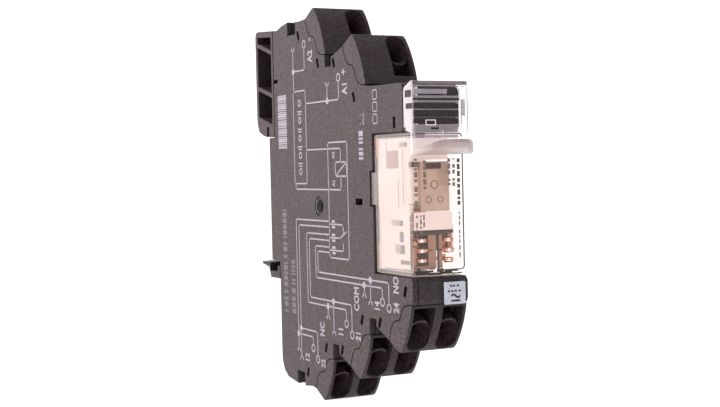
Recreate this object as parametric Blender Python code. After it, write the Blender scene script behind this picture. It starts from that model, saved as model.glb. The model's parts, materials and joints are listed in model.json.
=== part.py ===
"""Slim DIN-rail relay module: a socket with tension-clamp terminals, a retaining
and ejecting lever, and a plug-in changeover relay with two poles.

Every length below is in millimetres and every angle in degrees; meshes are
written in metres. X runs across the narrow width, Y points back to the rail and
Z points up. The origin is on the front plane of the rail's lips, at the rail's
centre height and in the middle of the width.
"""

import math

import bmesh
import bpy
from mathutils import Vector

MM = 0.001

# Overall size
HALF_WIDTH = 6.4
FRONT_MOST = -80.3
REAR_MOST = 7.5
WALL = 1.2
SEAM = 0.2

# Side plates
COVER_INNER = -HALF_WIDTH + WALL
SHELL_LEFT = COVER_INNER + SEAM
SHELL_INNER = HALF_WIDTH - WALL

# 35 mm rail

# Terminal steps: the outer front corner of each terminal cap, as (Y, Z)
TERMINALS = {
    "a2": ((-27.6, 44.0), 1),
    "a1": ((-47.2, 36.0), 1),
    "no": ((-66.1, -30.5), -1),
    "com": ((-47.8, -38.3), -1),
    "nc": ((-29.3, -45.8), -1),
}
FACE_TILT = 28.15
FACE_LENGTHS = {1: 12.6, -1: 11.4}
FACE_BULGE = 0.85
CORNER_RADIUS = 0.8
END_RADIUS = 1.3
COLUMN_X = 3.3
RECESS_HALF = 2.4
RECESS = (0.55, 10.85)
RECESS_DEPTH = 0.15
FUNNEL_HALF = 2.28
FUNNEL_ROUND = 2.0
FUNNEL = (0.8, 7.3)
RIM_THICK = 0.45
WIRE_HOLE = (1.9, 5.6)
WIRE_HALF = 1.45
DRIVER_SLOT_END = 10.7

# Clamp springs and current bars
PEG = (9.3, 6.2)
PEG_RADIUS = 0.85
LEAF_RADIUS = 1.2
LEAF_THICK = 0.3
LEAF_HALF = 1.5
LEAF_TIP = (2.15, 9.2)
BAR_THICK = 0.7
BAR_HALF = 1.2
POLE_X = 3.1

# Relay
RELAY_REAR = -55.8
RELAY_FRONT = -71.7
RELAY_TOP = 14.05
RELAY_BOTTOM = -14.65
RELAY_HALF = 6.15
RELAY_WALL = 0.7
COIL_PIN_Z = 11.7
PIN_ROWS = {"nc": -2.1, "com": -7.1, "no": -12.1}
PIN_END = -51.9
BLADES = {"nc": -7.5, "com": -9.55, "no": -11.55}
COIL_AXIS = (-62.3, 0.0)
SCREEN_SIDE = (-5.2, -4.75)
SCREEN_INSET = 0.03
LEFT_SCREEN = ((-67.55, -57.0), (-0.3, 13.1))
LOW_SCREEN = ((-65.2, -57.1), (-13.5, 0.2))
FRONT_SCREEN_X = (-5.1, 4.9)
FRONT_SCREEN_Y = (-67.5, -67.1)
FRONT_SCREENS = {"under": (-0.25, 6.75), "over": (8.65, 13.05)}

# Pivots, as (Y, Z)
LEVER_PIVOT = (-71.0, 22.0)
ARMATURE_PIVOT = (-66.9, -2.0)
BLADE_ROOT_Y = -58.4

# Latch
LATCH_SPRING = (-7.4, -34.3, -38.7)


# ---------------------------------------------------------------- materials
def material(name, colour, roughness, metallic=0.0, alpha=1.0):
    made = bpy.data.materials.new(name)
    made.use_nodes = True
    shader = made.node_tree.nodes["Principled BSDF"]
    shader.inputs["Base Color"].default_value = (*colour, 1.0)
    shader.inputs["Roughness"].default_value = roughness
    shader.inputs["Metallic"].default_value = metallic
    shader.inputs["Alpha"].default_value = alpha
    made.diffuse_color = (*colour, alpha)
    return made


def make_materials():
    return {
        "housing": material("housing_plastic", (0.052, 0.044, 0.046), 0.55),
        "cap": material("cap_plastic", (0.045, 0.038, 0.040), 0.5),
        "black": material("black_plastic", (0.012, 0.011, 0.011), 0.5),
        "clear": material("clear_plastic", (0.86, 0.82, 0.80), 0.1, 0.0, 0.35),
        "cream": material("cream_plastic", (0.62, 0.52, 0.42), 0.5),
        "label": material("label_plastic", (0.72, 0.74, 0.82), 0.5),
        "copper": material("copper_alloy", (0.80, 0.38, 0.22), 0.3, 1.0),
        "tinned": material("tinned_copper", (0.72, 0.72, 0.70), 0.3, 1.0),
        "steel": material("spring_steel", (0.60, 0.60, 0.62), 0.3, 1.0),
        "iron": material("relay_iron", (0.48, 0.42, 0.36), 0.4, 1.0),
        "winding": material("enamelled_wire", (0.55, 0.16, 0.10), 0.35),
        "board": material("circuit_board", (0.03, 0.16, 0.07), 0.45),
        "chip": material("moulded_component", (0.02, 0.02, 0.022), 0.45),
        "can": material("aluminium_can", (0.62, 0.63, 0.66), 0.35, 1.0),
        "varistor": material("varistor_coat", (0.03, 0.10, 0.30), 0.35),
        "resistor": material("resistor_coat", (0.45, 0.36, 0.24), 0.45),
        "led": material("led_lens", (0.15, 0.45, 0.12), 0.2),
    }


# ---------------------------------------------------------------- outlines
def arc(centre, radius, start, end, steps):
    """Points on an arc in the Y-Z plane, angles from +Y towards +Z."""
    points = []
    for i in range(steps + 1):
        angle = math.radians(start + (end - start) * i / steps)
        points.append((centre[0] + radius * math.cos(angle), centre[1] + radius * math.sin(angle)))
    return points


def smooth(points, steps=3):
    """A Catmull-Rom curve through the given points."""
    ends = [points[0], *points, points[-1]]
    curve = []
    for a, b, c, d in zip(ends, ends[1:], ends[2:], ends[3:]):
        for i in range(steps):
            t = i / steps
            curve.append(tuple(
                0.5 * (2 * q + (r - p) * t + (2 * p - 5 * q + 4 * r - s) * t * t
                       + (3 * q - p - 3 * r + s) * t ** 3)
                for p, q, r, s in zip(a, b, c, d)
            ))
    return curve + [points[-1]]


def band(path, thickness):
    """The outline of a strip of even thickness that follows a path, with mitred bends."""
    left, right = [], []
    for i, point in enumerate(path):
        here = Vector(point)
        before = (here - Vector(path[i - 1])).normalized() if i else None
        after = (Vector(path[i + 1]) - here).normalized() if i + 1 < len(path) else None
        before = before or after
        after = after or before
        along = (before + after).normalized()
        across = Vector((-along.y, along.x))
        reach = thickness / 2 / max(0.4, across.dot(Vector((-before.y, before.x))))
        left.append(tuple(here + across * reach))
        right.append(tuple(here - across * reach))
    return left + right[::-1]


def place(terminal, s, d):
    """(Y, Z) of a point s along a cap's face from its corner, and d behind the face."""
    (y, z), side = TERMINALS[terminal]
    sin, cos = math.sin(math.radians(FACE_TILT)), math.cos(math.radians(FACE_TILT))
    return (y - sin * s + cos * d, z - side * (cos * s + sin * d))


def placed(terminal, points):
    return [place(terminal, s, d) for s, d in points]


def parting(terminal):
    """The wavy line between a cap and the body, from the shoulder to the face's far end."""
    end = FACE_LENGTHS[TERMINALS[terminal][1]]
    return smooth([(-0.25, 4.95), (2.6, 5.35), (4.6, 4.75), (6.0, 3.2), (8.0, 2.95),
                   (end - 2.4, 2.9), (end - 1.0, 1.8), (end, 0.3)])


def body_edge(terminal):
    return placed(terminal, [(s, d + SEAM) for s, d in parting(terminal)])


def cap_outline(terminal):
    chord, bulge = FACE_LENGTHS[TERMINALS[terminal][1]], FACE_BULGE
    radius = (chord ** 2 / 4 + bulge ** 2) / (2 * bulge)
    face = []
    for i in range(1, 11):
        s = CORNER_RADIUS + (chord - CORNER_RADIUS) * i / 10
        d = -(math.sqrt(radius ** 2 - (s - chord / 2) ** 2) - (radius - bulge))
        face.append((s, d))
    corner = [(-0.03, CORNER_RADIUS), (0.07, 0.25), (0.3, -0.02)]
    return placed(terminal, [*corner, *face, *parting(terminal)[::-1]])


def pedestal_edge():
    return [(-54.2, 24.3), *arc((-68.1, 22.85), 1.2, 90, 180, 4), (-69.3, 15.0), (-68.6, 14.3)]


def front_and_bottom():
    """The body outline from the top of the foot forward, round the front and back below."""
    top = [(-5.8, 40.8), (-9.6, 41.7), (-12.6, 42.1), (-12.6, 38.9), (-17.2, 38.9),
           (-17.2, 41.8), (-19.0, 41.6)]
    upper = [(-33.4, 29.9), (-36.4, 29.9), (-36.4, 31.9)]
    recess = [(-55.6, 14.3), (-55.6, -14.9), (-71.3, -14.9), (-72.05, -15.7), (-72.05, -19.3),
              place("no", FACE_LENGTHS[-1] + 0.25, 0.0)]
    no_channel = [(-55.8, -26.0), (-55.8, -24.5), (-52.9, -24.5)]
    com_channel = [(-37.4, -33.9), (-37.4, -32.1), (-34.5, -32.1)]
    rear = [(-22.6, -43.3), (-18.4, -43.8), (-18.4, -40.7), (-14.3, -40.7), (-14.3, -43.8),
            (-8.4, -43.0), (-6.2, -41.6), (-5.1, -39.4), (-4.9, -37.5), (-4.9, -15.1),
            (0.0, -15.1), (0.0, 15.0)]
    return (top + body_edge("a2") + upper + body_edge("a1") + pedestal_edge() + recess
            + body_edge("no")[::-1] + no_channel + body_edge("com")[::-1] + com_channel
            + body_edge("nc")[::-1] + rear)


def cover_outline():
    return front_and_bottom() + [(-3.6, 15.0), (-3.6, 41.0)]


def shell_outline():
    slot = [(-0.1, 15.0), (-0.1, 17.7), (1.3, 17.7), (1.3, 15.3)]
    foot = [(3.3, 15.6), (6.3, 16.7), (7.3, 18.6), (REAR_MOST, 20.0), (REAR_MOST, 40.4),
            (7.1, 41.3), (6.2, 41.7)]
    return front_and_bottom()[:-1] + [(0.0, 14.9)] + slot + foot


# ---------------------------------------------------------------- mesh building
def add_object(name, mesh_data, finish=None):
    mesh = bpy.data.meshes.new(name)
    bmesh.ops.recalc_face_normals(mesh_data, faces=mesh_data.faces)
    if mesh_data.calc_volume(signed=True) < 0:
        bmesh.ops.reverse_faces(mesh_data, faces=mesh_data.faces)
    mesh_data.to_mesh(mesh)
    mesh_data.free()
    made = bpy.data.objects.new(name, mesh)
    bpy.context.scene.collection.objects.link(made)
    if finish:
        mesh.materials.append(finish)
    else:
        made.hide_render = True
        made.display_type = "WIRE"
    return made


def loft(name, rings, finish=None):
    """A closed solid through rings of (x, y, z) points, capped at both ends."""
    data = bmesh.new()
    built = [[data.verts.new([c * MM for c in point]) for point in ring] for ring in rings]
    for lower, upper in zip(built, built[1:]):
        for i, vert in enumerate(lower):
            j = (i + 1) % len(lower)
            data.faces.new((vert, lower[j], upper[j], upper[i]))
    data.faces.new(built[0])
    data.faces.new(built[-1])
    return add_object(name, data, finish)


def prism(name, outline, x0, x1, finish=None, left_bevel=0.0, right_bevel=0.0):
    """A Y-Z outline drawn out along X, with an optional bevel round either end face."""
    data = bmesh.new()
    ends = []
    for x in (x0, x1):
        ends.append([data.verts.new((x * MM, y * MM, z * MM)) for y, z in outline])
    for i in range(len(outline)):
        j = (i + 1) % len(outline)
        data.faces.new((ends[0][i], ends[0][j], ends[1][j], ends[1][i]))
    caps = [data.faces.new(end) for end in ends]
    bmesh.ops.recalc_face_normals(data, faces=data.faces)
    for cap, width in zip(caps, (left_bevel, right_bevel)):
        if width:
            bmesh.ops.bevel(data, geom=list(cap.edges), offset=width * MM, segments=2,
                            profile=0.5, affect="EDGES", clamp_overlap=True)
    return add_object(name, data, finish)


def box(name, xs, ys, zs, finish=None, bevel=0.0):
    outline = [(ys[0], zs[0]), (ys[1], zs[0]), (ys[1], zs[1]), (ys[0], zs[1])]
    made = prism(name, outline, xs[0], xs[1], finish)
    if bevel:
        round_edges(made, bevel)
    return made


def round_edges(target, width, segments=2):
    edge = target.modifiers.new("rounded_edges", "BEVEL")
    edge.width = width * MM
    edge.segments = segments
    edge.limit_method = "ANGLE"
    edge.angle_limit = math.radians(40)


def rod(name, start, end, radius, finish=None, sides=20):
    """A round rod between two (x, y, z) points."""
    axis = (Vector(end) - Vector(start)).normalized()
    across = axis.orthogonal().normalized()
    other = axis.cross(across)
    rings = []
    for centre in (start, end):
        ring = []
        for i in range(sides):
            turn = 2 * math.pi * i / sides
            ring.append(Vector(centre) + radius * (math.cos(turn) * across + math.sin(turn) * other))
        rings.append(ring)
    return loft(name, rings, finish)


def combine(target, others, operation):
    for other in others:
        step = target.modifiers.new(other.name, "BOOLEAN")
        step.operation = operation
        step.object = other
        step.solver = "EXACT"


def cut(target, *cutters):
    combine(target, cutters, "DIFFERENCE")


def join(target, *others):
    combine(target, others, "UNION")


def shade(target):
    target.data.shade_smooth()
    target.data.set_sharp_from_angle(angle=math.radians(35))


def set_origin(target, x, y, z):
    """Moves an object's origin onto its joint axis and leaves its shape where it is."""
    origin = Vector((x, y, z)) * MM
    for vert in target.data.vertices:
        vert.co -= origin
    target.location = origin


def hold(name, point, pieces):
    """Hangs the pieces of one moving body on an empty at its joint."""
    empty = bpy.data.objects.new(name, None)
    empty.location = Vector(point) * MM
    bpy.context.scene.collection.objects.link(empty)
    for piece in pieces:
        piece.parent = empty
        piece.location = piece.location - empty.location


# ---------------------------------------------------------------- socket body
MAIN_CAVITY = [
    (-1.5, -13.6), (-1.5, 13.6), (-4.8, 15.8), (-4.8, 39.0), (-11.3, 39.4), (-11.3, 37.6),
    (-18.5, 37.6), (-18.5, 40.2), (-21.5, 40.3), (-31.0, 31.5), (-31.6, 28.6), (-38.0, 28.6),
    (-38.0, 30.8), (-41.5, 32.3), (-50.5, 23.2), (-50.6, 22.9), (-67.6, 22.7), (-67.6, 15.6),
    (-54.2, 15.6), (-54.2, 13.6), (-57.0, 13.6), (-57.0, -14.6), (-54.2, -14.6),
    (-54.2, -16.2), (-58.4, -16.2), (-58.4, -22.8), (-51.7, -23.2), (-51.7, -25.6),
    (-42.6, -34.6), (-38.7, -33.1), (-38.7, -30.9), (-33.2, -30.9), (-33.2, -33.0),
    (-24.2, -42.1), (-19.7, -42.2), (-19.7, -39.4), (-13.0, -39.4), (-13.0, -41.9),
    (-9.0, -41.5), (-7.3, -40.4), (-6.2, -38.3), (-6.2, -14.6),
]
CLAMP_POCKET = [(0.6, -3.0), (0.6, 10.4), (1.9, 11.9), (7.0, 11.9), (10.9, 8.0), (10.9, -3.0)]
FOOT_CELLS = {
    "upper": [(-2.4, 39.6), (6.2, 40.3), (6.2, 38.8), (-2.4, 36.3)],
    "middle": [(-2.4, 35.3), (6.2, 37.8), (6.2, 28.0), (-2.4, 25.8)],
    "lower": [(-2.4, 24.8), (6.2, 27.0), (6.2, 20.4), (-2.4, 18.2)],
}
LUG = [(-68.4, 14.9), (-71.7, 14.9), (-72.0, 15.2), *arc(LEVER_PIVOT, 1.0, 180, 30, 6), (-68.4, 21.9)]


def make_shell(finish):
    shell = prism("main_shell", shell_outline(), -HALF_WIDTH, HALF_WIDTH, finish, 0.0, 0.25)
    cover_side = [(-90, -60), (5, -60), (5, 15.2), (-3.4, 15.2), (-3.4, 60), (-90, 60)]
    cut(shell, prism("cut_cover_side", cover_side, -9, SHELL_LEFT))
    cut(shell, prism("cut_main_cavity", MAIN_CAVITY, -9, SHELL_INNER))
    for terminal, (_, side) in TERMINALS.items():
        columns = {"right": (0.75, SHELL_INNER)}
        if side < 0:
            columns["left"] = (-9, -0.75)
        for column, (x0, x1) in columns.items():
            cut(shell, prism(f"cut_{terminal}_{column}", placed(terminal, CLAMP_POCKET), x0, x1))
    for cell, outline in FOOT_CELLS.items():
        cut(shell, prism(f"cut_foot_{cell}", outline, -9, 4.6))
    rear_wall = [(-6.6, -22.3), (-4.0, -22.3), (-4.0, -13.0), (-6.6, -13.0)]
    cut(shell, prism("cut_latch_way", rear_wall, -9, 4.9))
    cut(shell, box("cut_release_slot", (-1.6, 1.6), (-6.6, -4.0), (-33.2, -29.6)))
    join(shell, prism("add_lug", LUG, -4.95, 5.0))
    cut(shell, box("cut_guide_head", (-4.05, 2.35), (-74, -69.7), (21.15, 24)))
    cut(shell, box("cut_guide_way", (-3.35, -0.85), (-71, -67), (21.15, 22.45)))
    pivot_y, pivot_z = LEVER_PIVOT
    cut(shell, rod("cut_lever_pivot", (-6, pivot_y, pivot_z), (6, pivot_y, pivot_z), 0.65, sides=16))
    for terminal, (_, side) in TERMINALS.items():
        y, z = place(terminal, *PEG)
        left = 0.4 if side > 0 else -4.9
        join(shell, rod(f"add_peg_{terminal}", (left, y, z), (5.8, y, z), PEG_RADIUS, sides=12))
    y, _, low = LATCH_SPRING
    join(shell, box("add_spring_seat", (-4.9, 5.8), (y - 2.2, -5.4), (low - 1.6, low - 0.3)))
    return shell


SNAP_WINDOWS = [
    (-19.0, 38.3, 20), (-29.5, 31.1, 20), (-37.9, 30.5, 20), (-47.6, 22.4, 20), (-65.7, 16.3, 0),
    (-68.9, -17.7, -20), (-57.6, -25.0, -20), (-49.3, -25.2, -20), (-39.2, -32.9, -20),
    (-30.8, -33.3, -20), (-20.4, -40.3, -20),
]


def slanted_box(centre_y, centre_z, width, height, lean):
    turn = math.radians(lean)
    corners = []
    for u, v in ((-1, -1), (1, -1), (1, 1), (-1, 1)):
        y, z = u * width / 2, v * height / 2
        corners.append((centre_y + y * math.cos(turn) + z * math.sin(turn),
                        centre_z - y * math.sin(turn) + z * math.cos(turn)))
    return corners


def make_cover(finish):
    cover = prism("side_cover", cover_outline(), -HALF_WIDTH, COVER_INNER, finish, 0.22, 0.0)
    cut(cover, rod("cut_dimple", (-7, -28.7, -1.3), (-6.1, -28.7, -1.3), 2.3, sides=24))
    for number, (y, z, lean) in enumerate(SNAP_WINDOWS):
        cut(cover, prism(f"cut_window_{number}", slanted_box(y, z, 1.1, 2.3, lean), -8, -4))
    cut(cover, box("cut_probe_hole", (-8, -4), (-50.7, -47.4), (-0.7, 0.7)))
    cut(cover, box("cut_tongue_way", (-8, -4), (-56.5, -54.3), (-0.9, 6.6)))
    cut(cover, box("cut_rear_mark", (-8, -4), (-6.2, -3.0), (28.1, 29.0)))
    return cover


# ---------------------------------------------------------------- terminals
def rounded_ring(terminal, x, half, low, high, depth, outer_radius, inner_radius=None):
    """A rounded rectangle on a plane parallel to a cap's face, as world points."""
    ring = []
    for corner_x, corner_s, start in ((1, 1, 0), (-1, 1, 90), (-1, -1, 180), (1, -1, 270)):
        radius = inner_radius if inner_radius and corner_s > 0 else outer_radius
        for i in range(5):
            angle = math.radians(start + 22.5 * i)
            across = x + corner_x * (half - radius) + radius * math.cos(angle)
            middle = high - radius if corner_s > 0 else low + radius
            along = middle + radius * math.sin(angle)
            ring.append((across, *place(terminal, along, depth)))
    return ring


def recess_cutter(terminal, x, side_name):
    """The shallow U round a column's funnel and driver slot."""
    rings = [rounded_ring(terminal, x, RECESS_HALF, *RECESS, depth, 2.1, 0.3)
             for depth in (-2.5, RECESS_DEPTH)]
    return loft(f"cut_recess_{terminal}_{side_name}", rings)


def funnel_cutter(terminal, x, side_name):
    rings = [rounded_ring(terminal, x, FUNNEL_HALF, *FUNNEL, -2.5, FUNNEL_ROUND),
             rounded_ring(terminal, x, FUNNEL_HALF, *FUNNEL, 0.6, FUNNEL_ROUND),
             rounded_ring(terminal, x, WIRE_HALF, *WIRE_HOLE, 3.4, 1.4),
             rounded_ring(terminal, x, WIRE_HALF, *WIRE_HOLE, 7.5, 1.4)]
    return loft(f"cut_funnel_{terminal}_{side_name}", rings)


def slot_cutter(terminal, x, side_name):
    """The driver slot, whose near end follows the funnel's round end at an even distance."""
    end = FUNNEL[1] - FUNNEL_ROUND + RIM_THICK
    outline = [(FUNNEL_HALF, DRIVER_SLOT_END), (-FUNNEL_HALF, DRIVER_SLOT_END)]
    for i in range(9):
        across = FUNNEL_HALF * (i / 4 - 1)
        bend = max(0.0, abs(across) - (FUNNEL_HALF - FUNNEL_ROUND))
        outline.append((across, end + math.sqrt(FUNNEL_ROUND ** 2 - bend ** 2)))
    rings = []
    for depth in (-2.4, 6.0):
        rings.append([(x + across, *place(terminal, s, depth)) for across, s in outline])
    return loft(f"cut_slot_{terminal}_{side_name}", rings)


def end_corner_cutter(terminal):
    """Rounds the cap's outer corner on its right-hand end."""
    centre_x, centre_s = HALF_WIDTH - END_RADIUS, END_RADIUS - 0.05
    outline = [(HALF_WIDTH + 1, centre_s), (HALF_WIDTH + 1, -2), (centre_x, -2)]
    for i in range(6):
        angle = math.radians(-90 + 18 * i)
        outline.append((centre_x + END_RADIUS * math.cos(angle),
                        centre_s + END_RADIUS * math.sin(angle)))
    rings = []
    for depth in (-2.5, 7.5):
        rings.append([(x, *place(terminal, s, depth)) for x, s in outline])
    return loft(f"cut_corner_{terminal}", rings)


def make_cap(terminal, finish):
    side = TERMINALS[terminal][1]
    cap = prism(f"terminal_cap_{terminal}", cap_outline(terminal), -HALF_WIDTH, HALF_WIDTH, finish,
                0.2, 0.2)
    cut(cap, end_corner_cutter(terminal))
    for side_name, x in columns_of(side):
        cut(cap, recess_cutter(terminal, x, side_name), funnel_cutter(terminal, x, side_name),
            slot_cutter(terminal, x, side_name))
    return cap


def columns_of(side):
    return (("right", COLUMN_X),) if side > 0 else (("left", -COLUMN_X), ("right", COLUMN_X))


def leaf_path():
    """A leaf spring curled round its peg, with a straight leg down to the wire."""
    lean = math.degrees(math.atan2(LEAF_TIP[1] - PEG[1], LEAF_TIP[0] - PEG[0]))
    reach = math.dist(LEAF_TIP, PEG)
    leave = lean - math.degrees(math.acos(LEAF_RADIUS / reach))
    return [*arc(PEG, LEAF_RADIUS, -125, leave, 9), LEAF_TIP]


def make_leaf(name, terminal, x, finish):
    outline = band(placed(terminal, leaf_path()), LEAF_THICK)
    leaf = prism(name, outline, x - LEAF_HALF, x + LEAF_HALF, finish)
    set_origin(leaf, x, *place(terminal, *PEG))
    return leaf


def fork(z):
    """The two leaves of a receptacle that grip a relay pin at height z, from the rear round."""
    return band([(-54.4, z + 0.75), (-53.6, z + 0.55), (-49.5, z + 0.75), (-49.1, z),
                 (-49.5, z - 0.75), (-53.6, z - 0.55), (-54.4, z - 0.75)], 0.3)


BAR_ROUTES = {
    "no": [(-51.0, -21.6), (-48.9, -19.6), (-48.9, -12.1)],
    "com": [(-43.5, -23.0), (-46.9, -17.0), (-46.9, -7.1), (-49.0, -7.1)],
    "nc": [(-21.5, -33.5), (-44.9, -9.6), (-44.9, -2.1), (-49.0, -2.1)],
}


def make_bar(name, terminal, x, finish):
    start = placed(terminal, [(1.3, 5.7), (1.3, 10.5), (2.9, 12.0)])
    bar = prism(name, band(start + BAR_ROUTES[terminal], BAR_THICK), x - BAR_HALF, x + BAR_HALF, finish)
    join(bar, prism(f"add_fork_{name}", fork(PIN_ROWS[terminal]), x - 1.15, x + 1.15))
    return bar


def make_input_bar(terminal, last, finish):
    path = placed(terminal, [(1.3, 5.7), (1.3, 10.0), (2.9, 11.5)]) + last
    return prism(f"input_bar_{terminal}", band(path, BAR_THICK), POLE_X - BAR_HALF,
                 POLE_X + BAR_HALF, finish)


def make_coil_socket(name, x, finish):
    path = [(-49.0, COIL_PIN_Z), (-45.0, COIL_PIN_Z)]
    contact = prism(name, band(path, BAR_THICK), x - BAR_HALF, x + BAR_HALF, finish)
    join(contact, prism(f"add_fork_{name}", fork(COIL_PIN_Z), x - 1.15, x + 1.15))
    return contact


def make_socket_block(finish):
    block = box("contact_carrier", (-4.9, 4.9), (-55.4, -50.3), (-14.3, 13.3), finish)
    for number, z in enumerate([COIL_PIN_Z, *PIN_ROWS.values()]):
        for side_name, x in (("left", -POLE_X), ("right", POLE_X)):
            cut(block, box(f"cut_cell_{number}_{side_name}", (x - 1.35, x + 1.35), (-54.9, -49),
                           (z - 1.2, z + 1.2)))
            cut(block, box(f"cut_pin_{number}_{side_name}", (x - 0.9, x + 0.9), (-56, -54),
                           (z - 0.55, z + 0.55)))
    return block


# ---------------------------------------------------------------- rail latch
def make_latch(finish):
    """The sliding foot below the rail: a hook behind the lower lip, and a stem in the shell."""
    hook = [(-8.2, -19.5), (1.0, -19.5), (2.2, -16.9), (6.3, -16.3), (6.3, -15.7), (1.3, -15.7),
            (1.3, -17.8), (-3.4, -17.8), (-3.4, -16.4), (-4.6, -16.4), (-4.6, -17.6), (-8.2, -17.6)]
    latch = prism("rail_latch", hook, -4.55, 4.55, finish)
    wide = [(-4.55, -19.45), (0.95, -19.45), (2.15, -16.95), (6.25, -16.35), (6.25, -15.75),
            (1.35, -15.75), (1.35, -17.85), (-3.35, -17.85), (-3.35, -16.45), (-4.55, -16.45)]
    join(latch, prism("add_hook", wide, -HALF_WIDTH + 0.05, HALF_WIDTH - 0.05))
    stem_end = LATCH_SPRING[1] + 0.1
    join(latch, box("add_stem", (-4.2, 4.2), (-8.4, -6.6), (stem_end, -17.9)))
    cut(latch, box("cut_driver_notch", (-1.4, 1.4), (-7.6, -6.0), (-32.2, -30.2)))
    set_origin(latch, 0, -7.5, -19.5)
    return latch


def make_latch_spring(finish):
    """A compression spring swept round a helix, standing on its seat under the stem."""
    y, top, low = LATCH_SPRING
    wire, radius, turns, per_turn, sides = 0.16, 0.85, 6, 12, 6
    rings = []
    for i in range(turns * per_turn + 1):
        turn = 2 * math.pi * i / per_turn
        z = low + wire + (top - low - 2 * wire) * i / (turns * per_turn)
        outward = Vector((math.cos(turn), math.sin(turn), 0))
        centre = Vector((0, y, z)) + radius * outward
        ring = []
        for j in range(sides):
            round_wire = 2 * math.pi * j / sides
            ring.append(centre + wire * (math.cos(round_wire) * outward
                                         + math.sin(round_wire) * Vector((0, 0, 1))))
        rings.append(ring)
    return loft("latch_spring", rings, finish)


# ---------------------------------------------------------------- lever and light guide
CHEEK = [(-73.4, 9.6), (-72.2, 9.6), (-72.2, 14.1), (-69.6, 14.5), *arc(LEVER_PIVOT, 1.4, 0, 85, 4),
         (-71.7, 23.75), (-72.4, 24.1), (-73.1, 24.2), (-73.4, 23.9)]
LIP = [(-73.3, 9.55), (-75.4, 9.65), (-78.0, 10.5), (-79.6, 11.4), (FRONT_MOST - 0.3, 12.0),
       (FRONT_MOST - 0.3, 12.5), (-79.3, 12.4), (-77.7, 11.7), (-75.4, 11.0), (-72.9, 10.8)]
LEVER_SLOTS = [(15.55, 16.8), (17.15, 18.25), (18.6, 19.8), (20.25, 20.8), (21.2, 23.2)]


def make_lever(finish):
    lever = prism("ejector_lever", CHEEK, -6.3, -5.4, finish)
    join(lever, prism("add_cheek", CHEEK, 5.4, 6.3))
    panel = [(-73.35, 9.65), (-72.55, 9.65), (-72.55, 14.0), (-72.25, 14.05), (-72.25, 24.05),
             (-73.1, 24.15), (-73.35, 23.9)]
    front = prism("add_panel", panel, -5.7, 5.7)
    for number, zs in enumerate(LEVER_SLOTS):
        cut(front, box(f"cut_lever_slot_{number}", (-5.1, 5.1), (-75, -71), zs))
    join(lever, front)
    pivot_y, pivot_z = LEVER_PIVOT
    for x in (-4.3, 4.3):
        outer = math.copysign(5.8, x)
        join(lever, rod(f"add_stub_{x:+.1f}", (x, pivot_y, pivot_z), (outer, pivot_y, pivot_z), 0.5,
                        sides=12))
    join(lever, box("add_middle_rib", (-0.35, 0.35), (-73.9, -73.0), (12.0, 14.4)))
    lip = prism("add_lip", LIP, -6.6, 6.6)
    plan = []
    for i in range(24):
        turn = 2 * math.pi * i / 24
        plan.append((6.3 * math.cos(turn), -73.0 + (73.0 + FRONT_MOST) * math.sin(turn)))
    combine(lip, [loft("keep_lip_plan", [[(x, y, z) for x, y in plan] for z in (8, 14)])], "INTERSECT")
    join(lever, lip)
    set_origin(lever, 0, pivot_y, pivot_z)
    return lever


def make_light_guide(finish):
    guide = box("light_guide", (-3.85, 2.15), (-71.9, -70.1), (21.35, 22.55), finish)
    join(guide, box("add_guide_rod", (-3.15, -1.05), (-70.6, -49.4), (21.3, 22.3)))
    return guide


# ---------------------------------------------------------------- input circuit
def make_circuit(finishes):
    outline = [(-12.0, 0.6), (-48.2, 0.6), (-48.2, 20.8), (-41.5, 26.6), (-30.0, 27.4),
               (-24.5, 30.6), (-12.0, 30.6)]
    parts = [prism("circuit_board", outline, 0.6, 1.6, finishes["board"])]
    parts.append(box("bridge_rectifier", (-2.2, 0.4), (-25.4, -18.9), (20.5, 25.4), finishes["chip"], 0.2))
    parts.append(rod("smoothing_capacitor", (-2.1, -30.0, 4.0), (-2.1, -30.0, 16.0), 2.4,
                     finishes["can"], 24))
    parts.append(rod("varistor", (-3.0, -29.5, 22.6), (0.3, -29.5, 22.6), 3.4, finishes["varistor"], 24))
    parts.append(rod("dropping_resistor", (-1.0, -16.5, 6.0), (-1.0, -16.5, 15.5), 1.2,
                     finishes["resistor"], 16))
    parts.append(box("coil_transistor", (-1.9, 0.4), (-42.0, -36.0), (14.0, 20.0), finishes["chip"], 0.2))
    parts.append(rod("freewheel_diode", (-1.0, -38.0, 4.0), (-1.0, -38.0, 9.0), 1.1, finishes["chip"], 16))
    parts.append(box("status_led", (-3.1, 0.4), (-49.1, -46.4), (21.0, 22.4), finishes["led"]))
    return parts


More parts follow.
